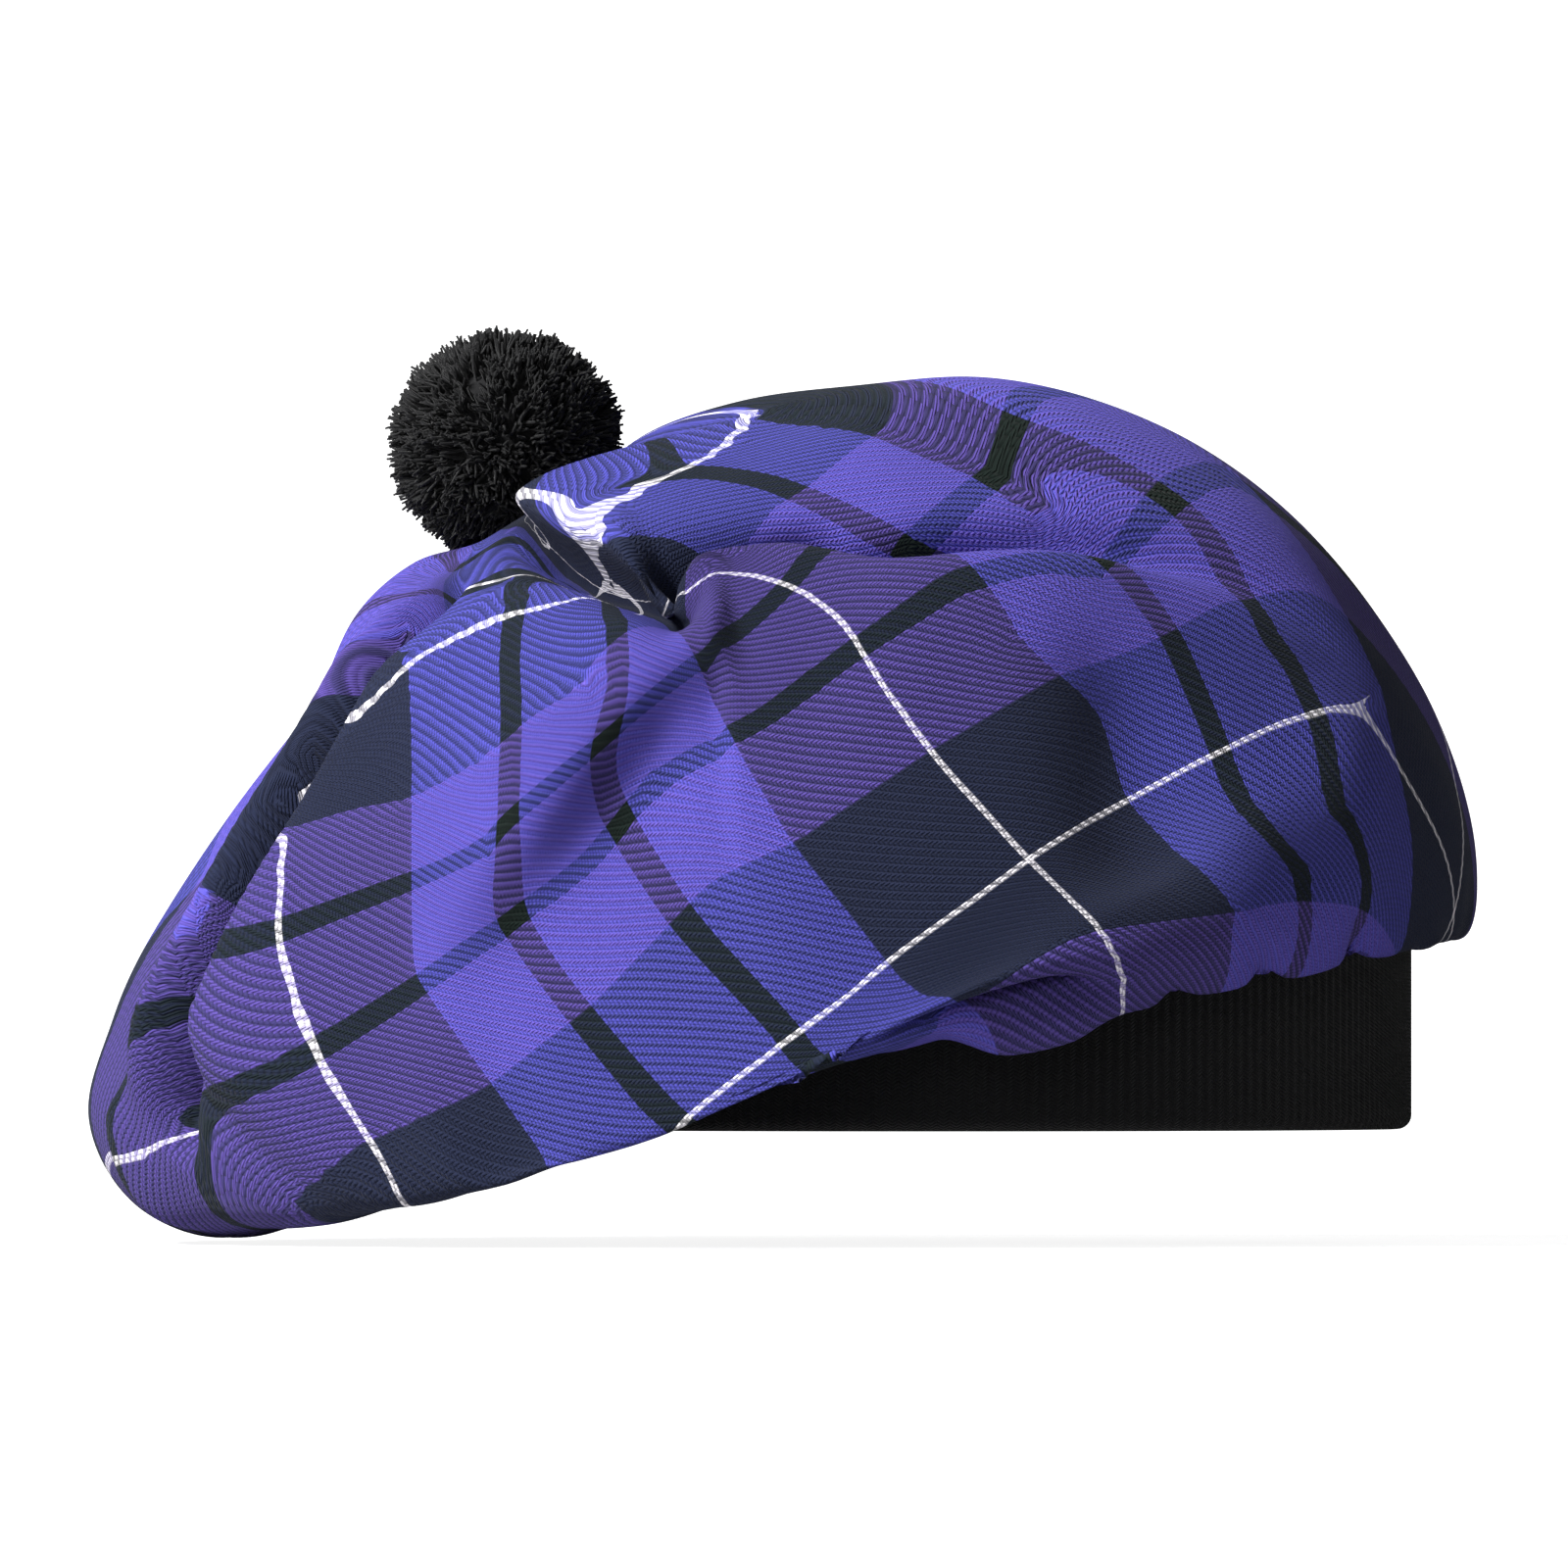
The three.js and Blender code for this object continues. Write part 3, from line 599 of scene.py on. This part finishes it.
def crown_piece():
    """The cloth's outer face, its inner face with fewer rings, and the edge that joins them."""
    inside = outside - outward * CLOTH_THICKNESS
    some_rings = slice(INSIDE_STEP - 1, None, INSIDE_STEP)
    points, faces, values, edges = [], [], [], []
    for face, laid, order in ((outside, threads, 1),
                              (inside[:, some_rings], threads[:, some_rings], -1)):
        start, rings = sum(map(len, points)), face.shape[1]
        i, j = np.meshgrid(np.arange(COLUMNS), np.arange(rings - 1), indexing="ij")
        i, j = i.ravel(), j.ravel()
        k = (i + 1) % COLUMNS
        here, there = i * rings + j, k * rings + j
        quads = np.stack([here, here + 1, there + 1, there], 1)
        first = np.arange(COLUMNS) * rings
        middle = np.full(COLUMNS, COLUMNS * rings)
        fan = np.stack([middle, first, np.roll(first, -1)], 1)
        points += [face.reshape(-1, 3), face[:, 0].mean(0)[None]]
        laid = np.concatenate([laid.reshape(-1, 2), laid[:, 0].mean(0)[None]])
        for group in (quads[:, ::order], fan[:, ::order]):
            faces += (group + start).tolist()
            values.append(laid[group].reshape(-1, 2))
        edges.append(first + rings - 1 + start)
    out_edge, in_edge = edges
    faces += np.stack([out_edge, in_edge, np.roll(in_edge, -1), np.roll(out_edge, -1)],
                      1).tolist()
    here, there = threads[:, -1], np.roll(threads[:, -1], -1, 0)
    values.append(np.stack([here, here, there, there], 1).reshape(-1, 2))
    piece = add_mesh("crown_cloth", np.concatenate(points), faces)
    face_values(piece, "threads", np.concatenate(values))
    return piece


def band_profile():
    """The headband's outline, with 1 where its ribs stand out, -1 where in and 0 for neither.

    It goes round the hem, up the outside, over the top and down the inside.
    """
    outer, inner = BAND_RADIUS, BAND_RADIUS - BAND_WALL
    top = BAND_HEIGHT
    points = []
    for a in np.linspace(-90, 0, 7):
        r = math.radians(a)
        points.append((outer - HEM_OUTER_ROUND + HEM_OUTER_ROUND * math.cos(r),
                       HEM_OUTER_ROUND + HEM_OUTER_ROUND * math.sin(r), 1.0))
    for z in np.linspace(HEM_OUTER_ROUND, top, 33)[1:]:
        points.append((outer, z, 1.0))
    for r in np.linspace(outer, inner, 5)[1:]:
        points.append((r, top, 0.0))
    for z in np.linspace(top, HEM_INNER_ROUND, 20)[1:]:
        points.append((inner, z, -1.0))
    points.append((inner + HEM_INNER_ROUND, 0, -1.0))
    return points


def headband_piece():
    """The knitted tube, ribbed inside and out, with its stitches counted round and up."""
    profile = band_profile()
    across = BAND_RIBS * STEPS_A_RIB
    turns = np.arange(across) / across * 2 * math.pi
    rib = 0.5 + 0.5 * np.cos(turns * BAND_RIBS)
    points = []
    for radius, z, face in profile:
        share = min(1, z / 6) * min(1, (BAND_HEIGHT - z + 2) / 4)
        depth = RIB_DEPTH * (RIB_AT_EDGE + (1 - RIB_AT_EDGE) * share) * face
        r = radius - depth * (1 - rib)
        points.append(np.stack([r * np.cos(turns), r * np.sin(turns), np.full(across, z)], 1))
    sides = [math.dist(a[:2], b[:2]) for a, b in zip(profile, profile[1:] + profile[:1])]
    length = np.concatenate([[0], np.cumsum(sides)])
    faces, values = [], []
    count = len(profile)
    for p in range(count):
        q = (p + 1) % count
        i = np.arange(across)
        k = (i + 1) % across
        faces.append(np.stack([p * across + i, p * across + k, q * across + k,
                               q * across + i], 1))
        u0, u1 = i * BAND_RIBS / across, (i + 1) * BAND_RIBS / across
        v0, v1 = (np.full(across, length[s] / COURSE_HEIGHT) for s in (p, p + 1))
        values.append(np.stack([u0, v0, u1, v0, u1, v1, u0, v1], 1).reshape(-1, 2))
    piece = add_mesh("headband_knit", np.concatenate(points), np.concatenate(faces).tolist())
    face_values(piece, "stitches", np.concatenate(values))
    return piece


def toorie_piece():
    """A dark head with thousands of cut yarn ends standing out of it in clumps."""
    random = np.random.default_rng(19)
    centre = np.array(TOORIE_PLACE)
    tree = ClothGrid(2).tree
    index = np.arange(YARN_CLUMPS) + 0.5
    polar = np.arccos(1 - 2 * index / YARN_CLUMPS)
    golden = math.pi * (1 + 5 ** 0.5) * index
    clumps = np.stack([np.cos(golden) * np.sin(polar), np.sin(golden) * np.sin(polar),
                       np.cos(polar)], 1)
    clumps = unit(clumps + random.normal(0, 0.035, clumps.shape))
    clump_reach = TOORIE_RADIUS + random.normal(-0.45, 0.5, YARN_CLUMPS)
    clump_lean = random.normal(0, 0.09, clumps.shape)
    points, faces = [], []
    per_clump = YARN_ENDS // YARN_CLUMPS
    rings = len(YARN_TAPER)
    for c in range(YARN_CLUMPS):
        for _ in range(per_clump):
            root = unit(clumps[c] + random.normal(0, 0.022, 3)) * (TOORIE_HEAD - YARN_ROOT_DEPTH)
            way = unit(clumps[c] + clump_lean[c] + random.normal(0, 0.062, 3))
            reach = clump_reach[c] + random.normal(-0.25, 0.3)
            reach = min(reach, TOORIE_RADIUS + LONGEST_YARN)
            tip = way * reach
            sway = random.normal(0, YARN_SWAY, 3)
            side = unit(np.cross(way, random.normal(0, 1, 3)))
            up = np.cross(way, side)
            # a yarn that would end in the crown's cloth is left out
            hit, normal, _, _ = tree.find_nearest(Vector(centre + tip))
            if (centre + tip - np.array(hit)) @ np.array(normal) < YARN_CLEARANCE:
                continue
            first = len(points)
            for r in range(rings):
                t = r / (rings - 1)
                middle = root + (tip - root) * t + sway * math.sin(math.pi * t)
                thick = YARN_THICKNESS / 2 * YARN_TAPER[r]
                for k in range(3):
                    a = k * 2 * math.pi / 3 + YARN_TWIST * r
                    off = (side * math.cos(a) + up * math.sin(a)) * thick
                    points.append(centre + middle + off)
            for r in range(rings - 1):
                for k in range(3):
                    m = (k + 1) % 3
                    at = first + r * 3
                    faces.append([at + k, at + m, at + 3 + m, at + 3 + k])
            last = first + (rings - 1) * 3
            faces.append([last, last + 1, last + 2])
    # the head that the yarns stand out of
    ball_first = len(points)
    lines, around = 24, 36
    for i in range(lines + 1):
        a = math.pi * i / lines
        for k in range(around):
            b = 2 * math.pi * k / around
            points.append(centre + TOORIE_HEAD * np.array([
                math.sin(a) * math.cos(b), math.sin(a) * math.sin(b), math.cos(a)]))
    for i in range(lines):
        for k in range(around):
            m = (k + 1) % around
            at = ball_first + i * around
            faces.append([at + k, at + around + k, at + around + m, at + m])
    return add_mesh("toorie_wool", points, faces)


# ---- materials ----
def new_group(name, inputs, outputs):
    """A shader node group with the named inputs and outputs."""
    group = bpy.data.node_groups.new(name, "ShaderNodeTree")
    for way, sockets in (("INPUT", inputs), ("OUTPUT", outputs)):
        for socket, kind in sockets:
            group.interface.new_socket(socket, in_out=way, socket_type="NodeSocket" + kind)
    return group, group.nodes.new("NodeGroupInput"), group.nodes.new("NodeGroupOutput")


def maths(tree, operation, *values):
    """A Math node; a value is a number or a socket."""
    node = tree.nodes.new("ShaderNodeMath")
    node.operation = operation
    for place, value in zip(node.inputs, values):
        if isinstance(value, (int, float)):
            place.default_value = value
        else:
            tree.links.new(value, place)
    return node.outputs[0]


def srgb(code):
    """A colour from its hexadecimal code, in linear light."""
    parts = [int(code[i:i + 2], 16) / 255 for i in (1, 3, 5)]
    light = [p / 12.92 if p <= 0.04045 else ((p + 0.055) / 1.055) ** 2.4 for p in parts]
    return (*light, 1)


UNDER_SHARE = 0.27              # of the thread below, where two threads cross
THREAD_ROUNDNESS = 3.2
FLOAT_ROUNDNESS = 0.4           # how much of a thread's height comes from its bend along itself
COLUMN_COLOURS = {"white": "#e6e2e8", "navy": "#1b2034", "bright": "#4a49a8",
                  "black": "#0d1714"}
ROW_COLOURS = {**COLUMN_COLOURS, "bright": "#52428e"}


def sett_ramp(tree, share, colours):
    """The thread colour at a share of the sett's repeat."""
    ramp = tree.nodes.new("ShaderNodeValToRGB")
    ramp.color_ramp.interpolation = "CONSTANT"
    done = 0
    for k, (name, count) in enumerate(SETT):
        if k < 2:
            stop = ramp.color_ramp.elements[k]
            stop.position = done / REPEAT
        else:
            stop = ramp.color_ramp.elements.new(done / REPEAT)
        stop.color = srgb(colours[name])
        done += count
    tree.links.new(share, ramp.inputs["Fac"])
    return ramp.outputs["Color"]


def colour_mix(tree, share, one, two):
    mix = tree.nodes.new("ShaderNodeMix")
    mix.data_type = "RGBA"
    for place, value in ((0, share), (6, one), (7, two)):
        tree.links.new(value, mix.inputs[place])
    return mix.outputs[2]


def twill_group():
    """Tartan twill: the thread colours and the height of the threads, from a thread count."""
    group, into, out = new_group(
        "tartan_twill", [("Threads", "Vector")], [("Color", "Color"), ("Height", "Float")])
    parts = group.nodes.new("ShaderNodeSeparateXYZ")
    group.links.new(into.outputs["Threads"], parts.inputs[0])
    index, heights, colours = [], [], []
    for k, palette in enumerate((COLUMN_COLOURS, ROW_COLOURS)):
        whole = maths(group, "FLOOR", maths(group, "ADD", parts.outputs[k], 0.5))
        across = maths(group, "SUBTRACT", parts.outputs[k], whole)
        bend = maths(group, "MULTIPLY", maths(group, "MULTIPLY", across, across),
                     THREAD_ROUNDNESS)
        index.append(whole)
        heights.append(maths(group, "SUBTRACT", 1.0, bend))
        share = maths(group, "FRACT", maths(group, "DIVIDE", whole, REPEAT))
        colours.append(sett_ramp(group, share, palette))
    # each thread passes over two and under two, a step further on in each row
    step = maths(group, "FLOORED_MODULO", maths(group, "ADD", index[0], index[1]), 4.0)
    column_on_top = maths(group, "LESS_THAN", step, 1.5)
    row_on_top = maths(group, "SUBTRACT", 1.0, column_on_top)
    column_shows = maths(group, "MULTIPLY", column_on_top, 1 - 2 * UNDER_SHARE)
    column_shows = maths(group, "ADD", column_shows, UNDER_SHARE)
    top = colour_mix(group, column_shows, colours[1], colours[0])
    # each float is round across and falls away to its ends
    slope = maths(group, "ADD", parts.outputs[0], parts.outputs[1])
    wave = maths(group, "SINE", maths(group, "MULTIPLY", slope, math.pi / 2))
    wave = maths(group, "ABSOLUTE", wave)
    round_top = maths(group, "ADD", maths(group, "MULTIPLY", heights[0], column_on_top),
                      maths(group, "MULTIPLY", heights[1], row_on_top))
    height = maths(group, "ADD", maths(group, "MULTIPLY", round_top, 1 - FLOAT_ROUNDNESS),
                   maths(group, "MULTIPLY", wave, FLOAT_ROUNDNESS))
    group.links.new(top, out.inputs["Color"])
    group.links.new(height, out.inputs["Height"])
    return group


def new_material(name):
    """A material, its node tree and its main shader."""
    material = bpy.data.materials.new(name)
    material.use_nodes = True
    return material, material.node_tree, material.node_tree.nodes["Principled BSDF"]


def bump(tree, height, strength, distance):
    node = tree.nodes.new("ShaderNodeBump")
    node.inputs["Strength"].default_value = strength
    node.inputs["Distance"].default_value = distance
    tree.links.new(height, node.inputs["Height"])
    return node.outputs["Normal"]


def uv_map(tree, name):
    node = tree.nodes.new("ShaderNodeUVMap")
    node.uv_map = name
    return node.outputs["UV"]


def noise(tree, vector, scale, detail):
    node = tree.nodes.new("ShaderNodeTexNoise")
    node.inputs["Scale"].default_value = scale
    node.inputs["Detail"].default_value = detail
    if vector is not None:
        tree.links.new(vector, node.inputs["Vector"])
    return node.outputs["Fac"]


def tartan_material():
    """Tartan wool, with painted shade between its threads and a tone that is uneven from thread to
    thread.
    """
    material, tree, shader = new_material("tartan_wool_twill")
    twill = tree.nodes.new("ShaderNodeGroup")
    twill.node_tree = twill_group()
    threads_at = uv_map(tree, "threads")
    tree.links.new(threads_at, twill.inputs["Threads"])
    grain = noise(tree, threads_at, 0.9, 3.0)
    # painted shade: the thread colour darkens where the threads' height falls away, between threads
    # and at their ends; the grain noise adds the wool's own uneven tone
    light = maths(tree, "MULTIPLY", twill.outputs["Height"], 0.7)
    light = maths(tree, "ADD", maths(tree, "MULTIPLY", grain, 0.6), maths(tree, "ADD", light, 0.22))
    shaded = tree.nodes.new("ShaderNodeVectorMath")
    shaded.operation = "SCALE"
    tree.links.new(twill.outputs["Color"], shaded.inputs[0])
    tree.links.new(light, shaded.inputs["Scale"])
    tree.links.new(shaded.outputs[0], shader.inputs["Base Color"])
    fuzz = noise(tree, threads_at, 1.7, 2.0)
    height = maths(tree, "ADD", twill.outputs["Height"], maths(tree, "MULTIPLY", fuzz, 0.5))
    tree.links.new(bump(tree, height, 1.0, 0.0004), shader.inputs["Normal"])
    shader.inputs["Roughness"].default_value = 0.9
    shader.inputs["Specular IOR Level"].default_value = 0.1
    shader.inputs["Sheen Weight"].default_value = 0.02
    shader.inputs["Sheen Roughness"].default_value = 0.5
    return material


def knit_material():
    """Black knit, with a V of yarn in every stitch of a rib."""
    material, tree, shader = new_material("black_rib_knit")
    parts = tree.nodes.new("ShaderNodeSeparateXYZ")
    tree.links.new(uv_map(tree, "stitches"), parts.inputs[0])
    across = maths(tree, "FRACT", maths(tree, "ADD", parts.outputs[0], 0.5))
    off = maths(tree, "ABSOLUTE", maths(tree, "SUBTRACT", across, 0.5))
    slant = maths(tree, "MULTIPLY", off, 2.2)
    course = maths(tree, "FRACT", maths(tree, "SUBTRACT", parts.outputs[1], slant))
    bow = maths(tree, "SINE", maths(tree, "MULTIPLY", course, math.pi))
    fuzz = noise(tree, None, 900.0, 2.0)
    height = maths(tree, "ADD", bow, maths(tree, "MULTIPLY", fuzz, 0.5))
    tree.links.new(bump(tree, height, 0.8, 0.0003), shader.inputs["Normal"])
    shader.inputs["Base Color"].default_value = srgb("#08080a")
    shader.inputs["Roughness"].default_value = 0.9
    shader.inputs["Specular IOR Level"].default_value = 0.15
    shader.inputs["Sheen Weight"].default_value = 0.06
    return material


def wool_material():
    """The toorie's black wool."""
    material, tree, shader = new_material("black_cut_wool")
    fuzz = noise(tree, None, 1400.0, 2.0)
    tree.links.new(bump(tree, fuzz, 0.5, 0.0003), shader.inputs["Normal"])
    shader.inputs["Base Color"].default_value = srgb("#08080a")
    shader.inputs["Roughness"].default_value = 0.85
    shader.inputs["Specular IOR Level"].default_value = 0.2
    shader.inputs["Sheen Weight"].default_value = 0.08
    return material


def place_piece(piece, node, material):
    """Gives a piece its material, hangs it on the root body and hides the model's own part that it
    stands for.
    """
    piece.data.materials.append(material)
    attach(piece, "root")
    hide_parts(node)


crown = crown_piece()
place_piece(crown, "crown", tartan_material())
headband = headband_piece()
place_piece(headband, "headband", knit_material())
toorie = toorie_piece()
place_piece(toorie, "toorie", wool_material())


# ---- floor, backdrop, lights and camera ----
def backdrop():
    """A pale floor that sweeps up behind the cap."""
    floor = float(outside[..., 2].min()) * MM - FLOOR_GAP
    line = [(FLOOR_FRONT, floor), (SWEEP_START, floor)]
    line += [(SWEEP_START + SWEEP_RADIUS * math.sin(a), floor + SWEEP_RADIUS * (1 - math.cos(a)))
             for a in np.linspace(0, math.pi / 2, SWEEP_STEPS + 1)[1:]]
    line.append((SWEEP_START + SWEEP_RADIUS, SWEEP_TOP))
    points = [(x, y, z) for y, z in line for x in (-FLOOR_HALF_WIDTH, FLOOR_HALF_WIDTH)]
    faces = [[2 * i, 2 * i + 1, 2 * i + 3, 2 * i + 2] for i in range(len(line) - 1)]
    piece = add_mesh("studio_floor", np.array(points) / MM, faces)
    material, tree, shader = new_material("white_paper")
    shader.inputs["Base Color"].default_value = (0.45, 0.45, 0.45, 1)
    shader.inputs["Roughness"].default_value = 0.9
    # the paper is lit from beneath where the camera sees it, so shadows on it stay faint
    seen = tree.nodes.new("ShaderNodeLightPath").outputs["Is Camera Ray"]
    shader.inputs["Emission Color"].default_value = (1, 1, 1, 1)
    glow = maths(tree, "MULTIPLY", seen, PAPER_GLOW)
    tree.links.new(glow, shader.inputs["Emission Strength"])
    # the camera looks through its back, in a view from behind or below
    back = tree.nodes.new("ShaderNodeNewGeometry").outputs["Backfacing"]
    mix = tree.nodes.new("ShaderNodeMixShader")
    clear = tree.nodes.new("ShaderNodeBsdfTransparent")
    tree.links.new(maths(tree, "MULTIPLY", seen, back), mix.inputs[0])
    tree.links.new(shader.outputs["BSDF"], mix.inputs[1])
    tree.links.new(clear.outputs["BSDF"], mix.inputs[2])
    surface = tree.nodes["Material Output"].inputs["Surface"]
    tree.links.new(mix.outputs["Shader"], surface)
    piece.data.materials.append(material)


def area_light(name, place, aim, size, power):
    """A round lamp at a place, turned to its aim."""
    light = bpy.data.lights.new(name, "AREA")
    light.shape = "DISK"
    light.size = size
    light.energy = power
    lamp = bpy.data.objects.new(name, light)
    lamp.location = place
    lamp.rotation_euler = (Vector(aim) - Vector(place)).to_track_quat("-Z", "Y").to_euler()
    bpy.context.collection.objects.link(lamp)


backdrop()
aim = (-0.03, 0, 0.06)
area_light("key_light", (-2.0, -1.3, 2.1), aim, 0.5, 240)
area_light("fill_light", (-0.6, -2.6, 0.9), aim, 1.2, 14)

world = bpy.data.worlds.new("studio")
world.use_nodes = True
sky = world.node_tree.nodes["Background"]
sky.inputs["Color"].default_value = (1, 1, 1, 1)
sky.inputs["Strength"].default_value = 0.12
bpy.context.scene.world = world
bpy.context.scene.view_settings.view_transform = "Standard"

camera_data = bpy.data.cameras.new("camera")
camera_data.sensor_width = SENSOR_WIDTH
camera_data.lens = SENSOR_WIDTH * -VIEW_FROM[1] / VIEW_WIDTH
camera_data.shift_y = (VIEW_MIDDLE_HEIGHT - VIEW_FROM[2]) / VIEW_WIDTH
camera_data.clip_end = 50
camera = bpy.data.objects.new("camera", camera_data)
camera.location = Vector(VIEW_FROM * MM)
camera.rotation_euler = (math.radians(90), 0, 0)
bpy.context.collection.objects.link(camera)
bpy.context.scene.camera = camera
